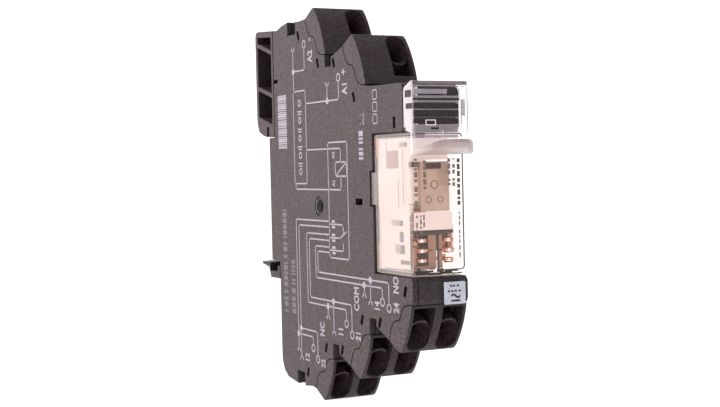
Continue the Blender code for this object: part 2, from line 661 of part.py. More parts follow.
# ---------------------------------------------------------------- plug-in relay
def make_relay_case(finishes):
    cover = box("relay_cover", (-RELAY_HALF, RELAY_HALF), (RELAY_FRONT, RELAY_REAR - 0.2),
                (RELAY_BOTTOM, RELAY_TOP), finishes["clear"], 0.5)
    inner = RELAY_HALF - RELAY_WALL
    cut(cover, box("cut_relay_inside", (-inner, inner), (RELAY_FRONT + RELAY_WALL, -50),
                   (RELAY_BOTTOM + RELAY_WALL, RELAY_TOP - RELAY_WALL)))
    join(cover, box("add_cover_tongue", (-RELAY_HALF + 0.05, -RELAY_HALF + 0.55), (-58, -54.6),
                    (-0.5, 6.2)))
    base = box("relay_base", (-inner + 0.2, inner - 0.2), (-57.4, -56.1),
               (RELAY_BOTTOM + RELAY_WALL + 0.2, RELAY_TOP - RELAY_WALL - 0.2), finishes["cream"])
    join(base, box("add_pole_wall", (-0.35, 0.35), (-69.4, -57.0), (-13.6, -7.2)))
    join(base, box("add_side_post", (4.75, 5.2), (-68.6, -57.0), (-10.2, -4.7)))
    join(base, box("add_bobbin_post", (-2.6, 2.6), (-58.6, -57.0), (8.7, 12.9)))
    join(base, box("add_left_screen", SCREEN_SIDE, *LEFT_SCREEN))
    low_side = (SCREEN_SIDE[0] + SCREEN_INSET, SCREEN_SIDE[1] - SCREEN_INSET)
    join(base, box("add_low_screen", low_side, *LOW_SCREEN))
    for part_name, zs in FRONT_SCREENS.items():
        join(base, box(f"add_front_screen_{part_name}", FRONT_SCREEN_X, FRONT_SCREEN_Y, zs))
    for number, z in enumerate([COIL_PIN_Z, *PIN_ROWS.values()]):
        for side_name, x in (("left", -POLE_X), ("right", POLE_X)):
            cut(base, box(f"cut_base_{number}_{side_name}", (x - 0.85, x + 0.85), (-59, -55),
                          (z - 0.45, z + 0.45)))
    return [cover, base]


def make_magnet(finishes):
    y = COIL_AXIS[0]
    bobbin = rod("coil_bobbin", (0, y, -1.2), (0, y, 6.9), 2.1, finishes["cream"], 20)
    join(bobbin, box("add_lower_flange", (-4.1, 4.1), (y - 4.3, y + 3.6), (-1.25, -0.45)))
    join(bobbin, box("add_upper_flange", (-4.1, 4.1), (y - 4.3, y + 3.6), (6.1, 6.95)))
    cut(bobbin, rod("cut_core_way", (0, y, -5), (0, y, 10), 1.6, sides=20))
    winding = rod("coil_winding", (0, y, -0.3), (0, y, 5.95), 3.5, finishes["winding"], 28)
    cut(winding, rod("cut_bobbin_way", (0, y, -5), (0, y, 10), 2.3, sides=20))
    core = rod("iron_core", (0, y, -1.5), (0, y, 6.9), 1.4, finishes["iron"], 20)
    path = [(-58.9, 7.7), (-69.45, 7.7), (-69.45, -1.2), (-66.95, -1.2)]
    yoke = prism("yoke", band(path, 1.1), -3.0, 3.6, finishes["iron"])
    return [bobbin, winding, core, yoke]


def make_armature(finish):
    """A rocker under the core: the long arm is drawn up, the short front arm goes down."""
    rocker = [(-58.9, -3.05), (-58.9, -3.95), (-67.5, -3.95), (-68.0, -3.4), (-67.4, -2.05),
              (-66.4, -2.05), (-65.8, -3.05)]
    finger = [(-66.5, -3.8), (-69.2, -4.3), (-69.2, -5.45), (-70.0, -5.45), (-70.0, -3.6),
              (-68.1, -2.85), (-66.5, -2.6)]
    armature = prism("armature", rocker, -3.2, 3.2, finish)
    join(armature, prism("add_finger", finger, -0.6, 0.6))
    set_origin(armature, 0, *ARMATURE_PIVOT)
    return armature


def make_card(finish):
    """The comb that carries the armature's push down to both moving blades."""
    card = box("contact_card", (-4.4, 4.4), (-69.9, -67.9), (-6.25, -5.6), finish)
    for x in (-1.15, 1.15):
        join(card, box(f"add_leg_{x:+.2f}", (x - 0.35, x + 0.35), (-69.6, -68.4), (-9.25, -6.0)))
    set_origin(card, 0, -68.9, -5.9)
    return card


def make_rivet(name, x, z0, z1, finish=None):
    return rod(name, (x, -67.3, z0), (x, -67.3, z1), 0.85, finish, 14)


def blade_sides(x, inner):
    """The X range of a blade from its pole's outer edge to `inner` from the middle."""
    return (x - 1.35, -inner) if x < 0 else (inner, x + 1.35)


def make_pin(name, x, z, front, finish=None):
    return box(name, (x - 0.65, x + 0.65), (front, PIN_END), (z - 0.24, z + 0.24), finish)


def make_fixed_contact(name, x, pole, finish):
    """A fixed blade with its rivet and its pin, as one piece."""
    row, level = PIN_ROWS[pole], BLADES[pole]
    path = [(-58.35, row), (-58.35, level), (-69.7, level)]
    contact = prism(name, band(path, 0.4), *blade_sides(x, 1.75), finish)
    join(contact, make_pin(f"add_pin_{name}", x, row, -58.4))
    low, high = (1.2, 0.4) if pole == "nc" else (0.4, 0.9)
    join(contact, make_rivet(f"add_rivet_{name}", x, level - low, level + high))
    return contact


def make_moving_contact(name, x, finish):
    """The moving blade, turning about its root just inside the base."""
    level = BLADES["com"]
    path = [(BLADE_ROOT_Y, level), (-70.2, level)]
    blade = prism(name, band(path, 0.3), *blade_sides(x, 0.85), finish)
    join(blade, make_rivet(f"add_rivet_{name}", x, level - 0.65, level + 0.65))
    set_origin(blade, x, BLADE_ROOT_Y, level)
    return blade


def make_common_pin(name, x, finish):
    row, level = PIN_ROWS["com"], BLADES["com"]
    pin = make_pin(name, x, row, -57.8, finish)
    shelf = band([(-57.7, row + 0.1), (-57.7, level + 0.5)], 0.3)
    join(pin, prism(f"add_shelf_{name}", shelf, x - 1.2, x + 1.2))
    return pin


def make_coil_pin(name, x, finish):
    z = COIL_PIN_Z
    pin = make_pin(name, x, z, -58.0, finish)
    join(pin, box(f"add_post_{name}", (x - 0.3, x + 0.3), (-60.2, -57.5), (z - 0.2, z + 0.2)))
    return pin


def make_relay(finishes):
    pieces = make_relay_case(finishes) + make_magnet(finishes)
    copper, tinned = finishes["copper"], finishes["tinned"]
    moving = []
    for pole, x in ((1, -POLE_X), (2, POLE_X)):
        pieces.append(make_fixed_contact(f"contact_nc_{pole}", x, "nc", copper))
        pieces.append(make_fixed_contact(f"contact_no_{pole}", x, "no", copper))
        pieces.append(make_common_pin(f"common_pin_{pole}", x, tinned))
        pieces.append(make_coil_pin(f"coil_pin_{pole}", x, tinned))
        moving.append(make_moving_contact(f"moving_contact_{pole}", x, copper))
    moving += [make_armature(finishes["iron"]), make_card(finishes["black"])]
    hold("relay_slide", (0, RELAY_REAR, 0), pieces + moving)
    return pieces + moving


# ---------------------------------------------------------------- assembly
def clear_scene():
    for old in list(bpy.data.objects):
        bpy.data.objects.remove(old, do_unlink=True)


def build():
    clear_scene()
    finishes = make_materials()
    made = [make_shell(finishes["housing"]), make_cover(finishes["housing"])]
    for terminal, (_, side) in TERMINALS.items():
        made.append(make_cap(terminal, finishes["cap"]))
        for side_name, x in columns_of(side):
            pole = {"left": 1, "right": 2}[side_name]
            leaf = f"clamp_spring_{terminal}" if side > 0 else f"clamp_spring_{terminal}_{pole}"
            made.append(make_leaf(leaf, terminal, x, finishes["steel"]))
            if side < 0:
                pole_x = math.copysign(POLE_X, x)
                made.append(make_bar(f"current_bar_{terminal}_{pole}", terminal, pole_x, finishes["copper"]))
    made.append(make_input_bar("a1", [(-37.9, 24.5)], finishes["copper"]))
    made.append(make_input_bar("a2", [(-20.2, 29.0)], finishes["copper"]))
    made.append(make_coil_socket("coil_socket_1", -POLE_X, finishes["copper"]))
    made.append(make_coil_socket("coil_socket_2", POLE_X, finishes["copper"]))
    made.append(make_socket_block(finishes["black"]))
    made.append(box("marker_label", (0.5, 5.3), (-72.9, -72.3), (-20.4, -15.9), finishes["label"], 0.15))
    made += [make_latch(finishes["black"]), make_latch_spring(finishes["steel"])]
    made += [make_lever(finishes["clear"]), make_light_guide(finishes["clear"])]
    made += make_circuit(finishes)
    made += make_relay(finishes)
    for piece in made:
        shade(piece)


build()
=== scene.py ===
"""Looks for the slim rail-mounted relay module: materials, printing and fine detail."""

import json
import math
import random

import bmesh
import bpy
from mathutils import Matrix, Vector


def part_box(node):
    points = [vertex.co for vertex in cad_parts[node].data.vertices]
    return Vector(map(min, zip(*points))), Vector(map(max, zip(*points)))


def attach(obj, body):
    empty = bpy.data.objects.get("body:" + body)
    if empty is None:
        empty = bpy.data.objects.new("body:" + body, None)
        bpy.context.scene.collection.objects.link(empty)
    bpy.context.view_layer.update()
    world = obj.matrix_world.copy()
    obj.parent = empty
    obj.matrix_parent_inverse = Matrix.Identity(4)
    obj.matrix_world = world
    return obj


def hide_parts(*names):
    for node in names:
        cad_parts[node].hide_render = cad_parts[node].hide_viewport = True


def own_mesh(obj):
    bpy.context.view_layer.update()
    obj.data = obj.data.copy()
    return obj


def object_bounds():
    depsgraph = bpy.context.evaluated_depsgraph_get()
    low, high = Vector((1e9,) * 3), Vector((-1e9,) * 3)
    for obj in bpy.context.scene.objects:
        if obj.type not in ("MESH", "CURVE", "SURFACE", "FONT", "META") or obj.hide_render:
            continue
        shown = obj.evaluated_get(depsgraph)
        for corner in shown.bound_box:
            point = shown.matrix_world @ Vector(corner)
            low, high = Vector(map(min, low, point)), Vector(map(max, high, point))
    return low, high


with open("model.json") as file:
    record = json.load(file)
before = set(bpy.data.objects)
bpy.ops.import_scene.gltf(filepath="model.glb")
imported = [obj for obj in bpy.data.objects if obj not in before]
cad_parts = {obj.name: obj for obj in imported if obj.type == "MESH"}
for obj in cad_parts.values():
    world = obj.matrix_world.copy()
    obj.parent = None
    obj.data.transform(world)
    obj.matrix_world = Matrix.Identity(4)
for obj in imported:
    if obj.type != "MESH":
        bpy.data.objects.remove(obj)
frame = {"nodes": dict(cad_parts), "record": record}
cad_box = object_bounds()
MM = 0.001
X, Y = 0, 1


def low_end(node, axis):
    """Where a CAD node starts along an axis, in mm. Its left face is low in X and its front is low in Y."""
    lowest_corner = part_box(node)[0]
    return round(lowest_corner[axis] / MM, 4)


# ---------------------------------------------------------------- node materials
class Graph:
    """A material's node tree, with short calls for adding and linking nodes."""

    def __init__(self, name):
        self.material = bpy.data.materials.new(name)
        self.material.use_nodes = True
        self.tree = self.material.node_tree
        self.tree.nodes.clear()
        self.place = self.add("ShaderNodeTexCoord").outputs["Object"]

    def add(self, kind, **settings):
        node = self.tree.nodes.new(kind)
        for key, value in settings.items():
            setattr(node, key, value)
        return node

    def link(self, source, target):
        self.tree.links.new(source, target)

    def feed(self, node, name, value):
        if isinstance(value, bpy.types.NodeSocket):
            self.link(value, node.inputs[name])
        else:
            node.inputs[name].default_value = value

    def noise(self, scale, detail=3.0, rough=0.5, where=None):
        node = self.add("ShaderNodeTexNoise")
        self.link(where or self.place, node.inputs["Vector"])
        self.feed(node, "Scale", scale)
        self.feed(node, "Detail", detail)
        self.feed(node, "Roughness", rough)
        return node.outputs["Fac"]

    def stretched(self, x, y, z):
        node = self.add("ShaderNodeMapping")
        self.link(self.place, node.inputs["Vector"])
        self.feed(node, "Scale", (x, y, z))
        return node.outputs["Vector"]

    def ramp(self, value, low, high, to_low, to_high):
        node = self.add("ShaderNodeMapRange")
        self.feed(node, "Value", value)
        self.feed(node, "From Min", low)
        self.feed(node, "From Max", high)
        self.feed(node, "To Min", to_low)
        self.feed(node, "To Max", to_high)
        return node.outputs["Result"]

    def mix(self, factor, first, second):
        """Mixes two colours. The node keeps its factor, colours and result in sockets 0, 6, 7 and 2."""
        node = self.add("ShaderNodeMix", data_type="RGBA")
        for socket, value in ((0, factor), (6, first), (7, second)):
            if isinstance(value, bpy.types.NodeSocket):
                self.link(value, node.inputs[socket])
            else:
                node.inputs[socket].default_value = value
        return node.outputs[2]

    def math(self, operation, first, second):
        node = self.add("ShaderNodeMath", operation=operation)
        self.feed(node, 0, first)
        self.feed(node, 1, second)
        return node.outputs[0]

    def bump(self, height, strength, distance):
        node = self.add("ShaderNodeBump")
        self.feed(node, "Height", height)
        self.feed(node, "Strength", strength)
        self.feed(node, "Distance", distance)
        return node.outputs["Normal"]

    def surface(self, **values):
        node = self.add("ShaderNodeBsdfPrincipled")
        for name, value in values.items():
            self.feed(node, name.replace("_", " "), value)
        return node.outputs["BSDF"]

    def finish(self, shader):
        self.link(shader, self.add("ShaderNodeOutputMaterial").inputs["Surface"])
        return self.material


def frontness(g):
    """How squarely a face looks towards the front, from 0 to 1."""
    split = g.add("ShaderNodeSeparateXYZ")
    g.link(g.add("ShaderNodeNewGeometry").outputs["Normal"], split.inputs[0])
    return g.ramp(split.outputs["Y"], -0.5, -0.95, 0.0, 1.0)


def rgb(red, green, blue):
    return (red, green, blue, 1.0)


def moulded(name, dark, light, roughness, grain=2200.0, depth=0.00006, strength=0.5, front=0.0):
    """Moulded plastic with a spark-eroded grain, faint mottling and paler worn grains; front sets painted
    shade, darkening the faces that look to the front.
    """
    g = Graph(name)
    fine = g.noise(grain, 2.0, 0.6)
    broad = g.noise(120.0, 4.0)
    colour = g.mix(g.ramp(fine, 0.4, 0.64, 0.0, 1.0), dark, light)
    colour = g.mix(g.ramp(broad, 0.3, 0.7, 0.0, 0.2), colour, dark)
    # Painted shade: faces that look to the front are pulled towards the dark colour.
    if front:
        colour = g.mix(g.math("MULTIPLY", frontness(g), front), colour, dark)
    rough = g.ramp(g.noise(700.0, 3.0), 0.3, 0.7, roughness - 0.07, roughness + 0.07)
    shader = g.surface(Base_Color=colour, Roughness=rough, Normal=g.bump(fine, strength, depth),
                       Specular_IOR_Level=0.32)
    return g.finish(shader)


def metal(name, colour, tarnish, roughness, along=(1.0, 1.0, 1.0)):
    """Rolled or drawn metal, brushed along one axis, with faint tarnish."""
    g = Graph(name)
    brushed = g.noise(900.0, 5.0, 0.65, g.stretched(*along))
    patches = g.ramp(g.noise(260.0, 4.0), 0.45, 0.75, 0.0, 0.6)
    shade = g.mix(patches, colour, tarnish)
    rough = g.ramp(brushed, 0.3, 0.7, roughness - 0.08, roughness + 0.1)
    shader = g.surface(Base_Color=shade, Metallic=1.0, Roughness=rough,
                       Normal=g.bump(brushed, 0.25, 0.00002))
    return g.finish(shader)


def clear(name, tint, haze, haze_colour, edge_haze=0.3, scratches=0.0, glow=0.25, waves=0.06):
    """Clear plastic: see-through, with a thin sheen; painted sheen makes it milky where it is seen edge on,
    and its milky body glows by its own emission, painted light.
    """
    g = Graph(name)
    view = g.add("ShaderNodeLayerWeight")
    g.feed(view, "Blend", 0.5)
    normal = g.bump(g.noise(240.0, 2.0), waves, 0.00008)
    through = g.add("ShaderNodeBsdfTransparent")
    g.feed(through, "Color", tint)
    # Painted light: the milky body glows by its own emission.
    body = g.surface(Base_Color=haze_colour, Roughness=0.4, Normal=normal,
                     Emission_Color=haze_colour, Emission_Strength=glow)
    sheen = g.add("ShaderNodeBsdfGlossy")
    g.feed(sheen, "Roughness", 0.06)
    g.link(normal, sheen.inputs["Normal"])
    cloudy = g.add("ShaderNodeMixShader")
    spots = g.ramp(g.noise(1500.0, 3.0), 0.5, 0.8, 0.0, scratches)
    # Painted sheen: more of the milky body shows where a face is seen edge on.
    edge = g.ramp(view.outputs["Facing"], 0.35, 0.95, 0.0, edge_haze)
    g.link(g.math("ADD", g.math("ADD", edge, haze), spots), cloudy.inputs["Fac"])
    g.link(through.outputs[0], cloudy.inputs[1])
    g.link(body, cloudy.inputs[2])
    shiny = g.add("ShaderNodeMixShader")
    grazing = g.math("POWER", view.outputs["Facing"], 3.0)
    g.link(g.ramp(grazing, 0.0, 1.0, 0.015, 0.4), shiny.inputs["Fac"])
    g.link(cloudy.outputs[0], shiny.inputs[1])
    g.link(sheen.outputs[0], shiny.inputs[2])
    return g.finish(shiny.outputs[0])


def zoned(name, base, roughness, painted_front_glow=0.0, zones=()):
    """Plastic whose colour changes at given places, as (low corner, high corner, colour) in mm, with a
    painted glow on the faces that look to the front.
    """
    g = Graph(name)
    fine = g.noise(1500.0, 3.0)
    darker = rgb(*(0.8 * part for part in base[:3]))
    colour = g.mix(g.ramp(fine, 0.3, 0.7, 0.0, 0.3), base, darker)
    split = g.add("ShaderNodeSeparateXYZ")
    g.link(g.place, split.inputs[0])
    for low, high, shade in zones:
        inside = 1.0
        for axis in range(3):
            for side, limit in (("GREATER_THAN", low[axis]), ("LESS_THAN", high[axis])):
                inside = g.math("MULTIPLY", inside, g.math(side, split.outputs[axis], limit * MM))
        colour = g.mix(inside, colour, shade)
    # Painted light: faces that look to the front glow by their own emission.
    glow = g.math("MULTIPLY", frontness(g), painted_front_glow)
    return g.finish(g.surface(Base_Color=colour, Roughness=roughness, Normal=g.bump(fine, 0.2, 0.00003),
                              Emission_Color=colour, Emission_Strength=glow))


def winding_material():
    """Enamelled wire laid in close turns round an upright former; the dark bands between turns are painted
    shade in the grooves.
    """
    g = Graph("wound_wire")
    wave = g.add("ShaderNodeTexWave", bands_direction="Z")
    g.link(g.place, wave.inputs["Vector"])
    g.feed(wave, "Scale", 1300.0)
    g.feed(wave, "Distortion", 0.6)
    # Painted shade: the wave's dark bands darken the grooves between turns.
    colour = g.mix(wave.outputs["Fac"], rgb(0.20, 0.03, 0.015), rgb(0.72, 0.22, 0.10))
    shader = g.surface(Base_Color=colour, Roughness=0.3, Metallic=0.3,
                       Normal=g.bump(wave.outputs["Fac"], 0.8, 0.00006))
    return g.finish(shader)


def board_material():
    """Green board with a web of covered tracks."""
    g = Graph("printed_board")
    cells = g.add("ShaderNodeTexBrick")
    g.link(g.place, cells.inputs["Vector"])
    g.feed(cells, "Scale", 260.0)
    g.feed(cells, "Mortar Size", 0.06)
    g.feed(cells, "Color1", rgb(0.02, 0.13, 0.05))
    g.feed(cells, "Color2", rgb(0.025, 0.16, 0.06))
    g.feed(cells, "Mortar", rgb(0.06, 0.26, 0.11))
    shader = g.surface(Base_Color=cells.outputs["Color"], Roughness=0.35,
                       Normal=g.bump(cells.outputs["Fac"], 0.3, 0.00004))
    return g.finish(shader)


def print_material():
    """Slightly patchy pad-printed ink."""
    g = Graph("white_ink")
    patchy = g.ramp(g.noise(1800.0, 3.0), 0.35, 0.7, 0.0, 0.5)
    colour = g.mix(patchy, rgb(0.34, 0.29, 0.335), rgb(0.17, 0.145, 0.165))
    return g.finish(g.surface(Base_Color=colour, Roughness=0.6))


CAP_GRAIN = 2000.0
COARSE_GRAIN = 900.0
SOFT_GRAIN = 500.0

MATERIALS = {
    # The front values are painted shade on the faces that look to the front.
    "housing_plastic": moulded("textured_housing", rgb(0.021, 0.0134, 0.0150), rgb(0.084, 0.0555, 0.0613),
                               0.56, front=0.55),
    "cap_plastic": moulded("terminal_caps", rgb(0.018, 0.0108, 0.0122), rgb(0.078, 0.047, 0.0535), 0.52,
                           grain=CAP_GRAIN, depth=0.00005, front=0.45),
    "black_plastic": moulded("black_moulding", rgb(0.020, 0.013, 0.013), rgb(0.040, 0.028, 0.028), 0.5,
                             depth=0.00003, strength=0.3),
    "clear_plastic": clear("clear_mouldings", rgb(0.985, 0.98, 0.985), 0.02, rgb(0.80, 0.77, 0.80)),
    # Painted light: the cream parts inside the relay glow on their fronts, so they look lit.
    "cream_plastic": zoned("cream_moulding", rgb(0.425, 0.335, 0.305), 0.5, painted_front_glow=1.25, zones=[
        ((-4.6, -70.0, -14.0), (4.4, -50.0, -4.6), rgb(0.17, 0.085, 0.055)),
    ]),
    "label_plastic": moulded("marker_card", rgb(0.52, 0.53, 0.62), rgb(0.60, 0.61, 0.70), 0.5,
                             grain=2600.0, depth=0.00002, strength=0.2),
    "copper_alloy": metal("copper_strip", rgb(0.80, 0.33, 0.18), rgb(0.36, 0.12, 0.06), 0.24, (1, 0.15, 1)),
    "tinned_copper": metal("tinned_strip", rgb(0.80, 0.79, 0.76), rgb(0.58, 0.56, 0.52), 0.3, (1, 0.2, 1)),
    "spring_steel": metal("spring_steel", rgb(0.72, 0.72, 0.74), rgb(0.50, 0.49, 0.48), 0.26, (0.2, 1, 1)),
    "relay_iron": metal("relay_iron", rgb(0.64, 0.45, 0.35), rgb(0.40, 0.28, 0.22), 0.42, (1, 1, 0.2)),
    "enamelled_wire": winding_material(),
    "circuit_board": board_material(),
    "moulded_component": moulded("epoxy_part", rgb(0.015, 0.015, 0.017), rgb(0.035, 0.035, 0.038), 0.4),
    "aluminium_can": metal("capacitor_can", rgb(0.75, 0.76, 0.78), rgb(0.55, 0.56, 0.60), 0.3),
    "varistor_coat": moulded("varistor_coat", rgb(0.02, 0.08, 0.28), rgb(0.04, 0.13, 0.38), 0.3,
                             grain=COARSE_GRAIN),
    "resistor_coat": moulded("resistor_coat", rgb(0.42, 0.33, 0.21), rgb(0.55, 0.45, 0.31), 0.4,
                             grain=COARSE_GRAIN),
    "led_lens": clear("led_lens", rgb(0.45, 0.85, 0.40), 0.35, rgb(0.20, 0.60, 0.18)),
    "white_ink": print_material(),
    "faint_ink": moulded("faint_ink", rgb(0.10, 0.085, 0.095), rgb(0.16, 0.14, 0.155), 0.6),
    # Painted light: the cover's milky haze glows peach, so the relay's inside looks lit.
    "relay_cover": clear("relay_cover_clear", rgb(0.995, 0.985, 0.98), 0.02, rgb(0.93, 0.80, 0.75),
                         edge_haze=0.25, glow=0.6),
    "frosted": clear("frosted_grip", rgb(0.90, 0.85, 0.85), 0.6, rgb(0.33, 0.255, 0.25),
                     scratches=0.15, waves=0.4),
    # Painted light: the lever's edge-on milkiness and glow whiten its cheeks.
    "clear_lever": clear("clear_lever", rgb(0.985, 0.98, 0.985), 0.1, rgb(0.85, 0.80, 0.84),
                         edge_haze=0.6, glow=0.5),
    # Painted highlight: a milky, glowing strip and frame standing in for light caught on the lever's edges.
    "painted_glow_edge": clear("painted_glow_edge", rgb(0.98, 0.97, 0.98), 0.7, rgb(0.78, 0.72, 0.76),
                         edge_haze=0.2, glow=0.45),
    "smoky": clear("smoky_panel", rgb(0.74, 0.69, 0.72), 0.35, rgb(0.42, 0.37, 0.40),
                   edge_haze=0.2, glow=0.3, waves=0.5),
    "coil_tape": moulded("coil_tape", rgb(0.13, 0.045, 0.045), rgb(0.18, 0.075, 0.07), 0.5,
                         grain=400.0, depth=0.00002, strength=0.2),
    "rosy": moulded("rosy_plastic", rgb(0.15, 0.09, 0.095), rgb(0.22, 0.145, 0.15), 0.5,
                    grain=SOFT_GRAIN, depth=0.00002, strength=0.2),
    "orange": clear("orange_glow", rgb(0.85, 0.58, 0.40), 0.5, rgb(0.62, 0.30, 0.15),
                    edge_haze=0.2, glow=0.3),
    "carrier": zoned("contact_carrier", rgb(0.42, 0.19, 0.125), 0.35),
    # Painted shade, laid in the side plate's round recess.
    "recess": moulded("shaded_recess", rgb(0.0022, 0.0018, 0.0018), rgb(0.006, 0.005, 0.005), 0.9, front=0.1),
    "brown_ink": moulded("brown_ink", rgb(0.19, 0.135, 0.115), rgb(0.27, 0.20, 0.17), 0.5),
    "dark_ink": moulded("dark_ink", rgb(0.055, 0.040, 0.034), rgb(0.12, 0.088, 0.076), 0.5),
    # Painted shade: thin dark lines where the clear lever's edges and rib look dark.
    "painted_edge_shade": clear("painted_edge_shade", rgb(0.5, 0.45, 0.45), 0.5, rgb(0.06, 0.045, 0.045),
                       edge_haze=0.1, glow=0.0),
    "window": moulded("lamp_window", rgb(0.30, 0.27, 0.30), rgb(0.36, 0.33, 0.36), 0.3,
                      grain=SOFT_GRAIN, depth=0.00002, strength=0.2),
    # Brown moulding for the bar behind the cover and the plate's band, also used as painted shade for the
    # dark lines along the cover's thick clear edges.
    "brown_and_edge_shade": moulded("brown_with_edge_shade", rgb(0.040, 0.017, 0.012), rgb(0.085, 0.038, 0.028), 0.5, front=0.2),
    "top_bar": clear("lever_top_bar", rgb(0.66, 0.60, 0.61), 0.5, rgb(0.17, 0.14, 0.145),
                     edge_haze=0.2, glow=0.05, waves=0.5),
    "silver": metal("contact_silver", rgb(0.95, 0.92, 0.88), rgb(0.80, 0.72, 0.66), 0.18),
}


def dress_nodes():
    """Gives every CAD node the material of its slot in the record."""
    slots = {part["node"]: part["material_slot"] for part in frame["record"]["subparts"]}
    for name, obj in frame["nodes"].items():
        obj.data.materials.clear()
        key = "relay_cover" if name == "relay_cover" else slots[name]
        obj.data.materials.append(MATERIALS[key])


# ---------------------------------------------------------------- mesh helpers
def new_piece(name, data, material, body):
    """Links a bmesh as a piece that rides on a body."""
    mesh = bpy.data.meshes.new(name)
    bmesh.ops.recalc_face_normals(data, faces=data.faces)
    data.to_mesh(mesh)
    data.free()
    mesh.materials.append(material)
    obj = bpy.data.objects.new(name, mesh)
    bpy.context.scene.collection.objects.link(obj)
    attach(obj, body)
    return obj


def smooth_shade(obj, angle=35):
    """Shades an object smooth, except across edges sharper than the angle in degrees."""
    obj.data.shade_smooth()
    obj.data.set_sharp_from_angle(angle=math.radians(angle))


def add_prism(data, outline, at, depth, axes):
    """Adds an outline of (u, v) points, drawn out by depth along w, in a plane given by three axes."""
    u_axis, v_axis, w_axis = axes
    rings = []
    for w in (0, depth):
        ring = []
        for u, v in outline:
            point = Vector(at) + u * Vector(u_axis) + v * Vector(v_axis) + w * Vector(w_axis)
            ring.append(data.verts.new(point * MM))
        rings.append(ring)
    count = len(outline)
    for i in range(count):
        j = (i + 1) % count
        data.faces.new((rings[0][i], rings[0][j], rings[1][j], rings[1][i]))
    data.faces.new(rings[0][::-1])
    data.faces.new(rings[1])


def add_box(data, xs, ys, zs):
    """Adds a box between two values on each axis."""
    outline = [(xs[0], ys[0]), (xs[1], ys[0]), (xs[1], ys[1]), (xs[0], ys[1])]
    add_prism(data, outline, (0, 0, zs[0]), zs[1] - zs[0], ((1, 0, 0), (0, 1, 0), (0, 0, 1)))


def add_annulus(data, centre, outer, inner, at, depth, axes, start=0.0, end=360.0, steps=18):
    """Adds a flat ring, or a piece of one, in a plane given by three axes."""
    whole = end - start >= 360
    steps_made = steps if whole else steps + 1
    points = []
    for i in range(steps_made):
        turn = math.radians(start + (end - start) * i / steps)
        points.append((math.cos(turn), math.sin(turn)))
    sides = []
    for w in (0, depth):
        for radius in (inner, outer):
            ring = []
            for c, s in points:
                place = Vector(at) + (centre[0] + radius * c) * Vector(axes[0])
                place += (centre[1] + radius * s) * Vector(axes[1]) + w * Vector(axes[2])
                ring.append(data.verts.new(place * MM))
            sides.append(ring)
    low_in, low_out, high_in, high_out = sides
    count = steps if whole else steps_made - 1
    for i in range(count):
        j = (i + 1) % steps_made
        data.faces.new((low_in[i], low_in[j], low_out[j], low_out[i]))
        data.faces.new((high_in[i], high_out[i], high_out[j], high_in[j]))
        data.faces.new((low_in[i], high_in[i], high_in[j], low_in[j]))
        data.faces.new((low_out[i], low_out[j], high_out[j], high_out[i]))
    if not whole:
        for i in (0, -1):
            data.faces.new((low_in[i], low_out[i], high_out[i], high_in[i]))


# ---------------------------------------------------------------- side printing
SIDE_X = low_end("side_cover", X)
INK = 0.03
SINK = 0.005
PRINT_AXES = ((0, 1, 0), (0, 0, 1), (-1, 0, 0))
FRONT_AXES = ((1, 0, 0), (0, 0, 1), (0, -1, 0))
PRINT_AT = (SIDE_X + SINK, 0, 0)
RAISED_AT = (SIDE_X - SINK, 0, 0)
LINE = 0.32
SYMBOL_LINE = 0.3
THIN_LINE = 0.25
DOT = 0.75
RING = (1.0, 0.66)

# Paths of (Y, Z) points on the side plate.
SUPPLY_WIRES = [
    [(-15.8, 25.4), (-15.8, 34.9)],
    [(-15.8, 30.1), (-22.2, 30.1), (-22.2, 35.1)],
    [(-22.4, 22.3), (-40.2, 22.3), (-40.2, 26.2)],
    [(-34.3, 22.3), (-34.3, 25.7)],
]
COIL_WIRES = [
    [(-22.4, 11.6), (-40.5, 11.6), (-40.5, 8.6)],
    [(-15.9, 3.8), (-15.9, 2.5), (-40.5, 2.5), (-40.5, 5.5)],
    [(-37.7, 5.5), (-43.4, 8.6)],
]
NC_WIRES = [
    [(-34.0, -4.6), (-15.5, -4.6), (-15.5, -35.2)],
    [(-34.0, -5.9), (-17.0, -5.9), (-17.0, -37.0)],
    [(-15.5, -31.7), (-23.7, -31.7), (-23.7, -33.4)],
    [(-17.0, -30.3), (-26.2, -30.3), (-26.2, -35.7)],
]
COM_WIRES = [
    [(-34.0, -7.6), (-21.4, -7.6), (-21.4, -23.8), (-41.7, -23.8), (-41.7, -25.9)],
    [(-34.0, -8.9), (-22.8, -8.9), (-22.8, -22.5), (-44.4, -22.5), (-44.4, -28.1)],
    [(-32.3, -23.8), (-32.3, -26.0)],
    [(-35.2, -22.5), (-35.2, -29.2)],
]
NO_WIRES = [
    [(-34.0, -10.4), (-26.2, -10.4), (-26.2, -17.7), (-59.0, -17.7), (-59.0, -19.7)],
    [(-34.0, -11.6), (-27.4, -11.6), (-27.4, -16.4), (-61.9, -16.4), (-61.9, -20.7)],
    [(-50.7, -17.7), (-50.7, -19.6)],
    [(-53.6, -16.4), (-53.6, -20.9)],
]
SWITCH_ARMS = [
    [(-34.0, -5.2), (-41.0, -5.2), (-41.0, -7.0)],
    [(-34.0, -8.2), (-39.4, -8.2), (-42.5, -6.7)],
    [(-34.0, -11.0), (-41.0, -11.0), (-41.0, -9.4)],
]
CIRCUIT = SUPPLY_WIRES + COIL_WIRES + NC_WIRES + COM_WIRES + NO_WIRES + SWITCH_ARMS

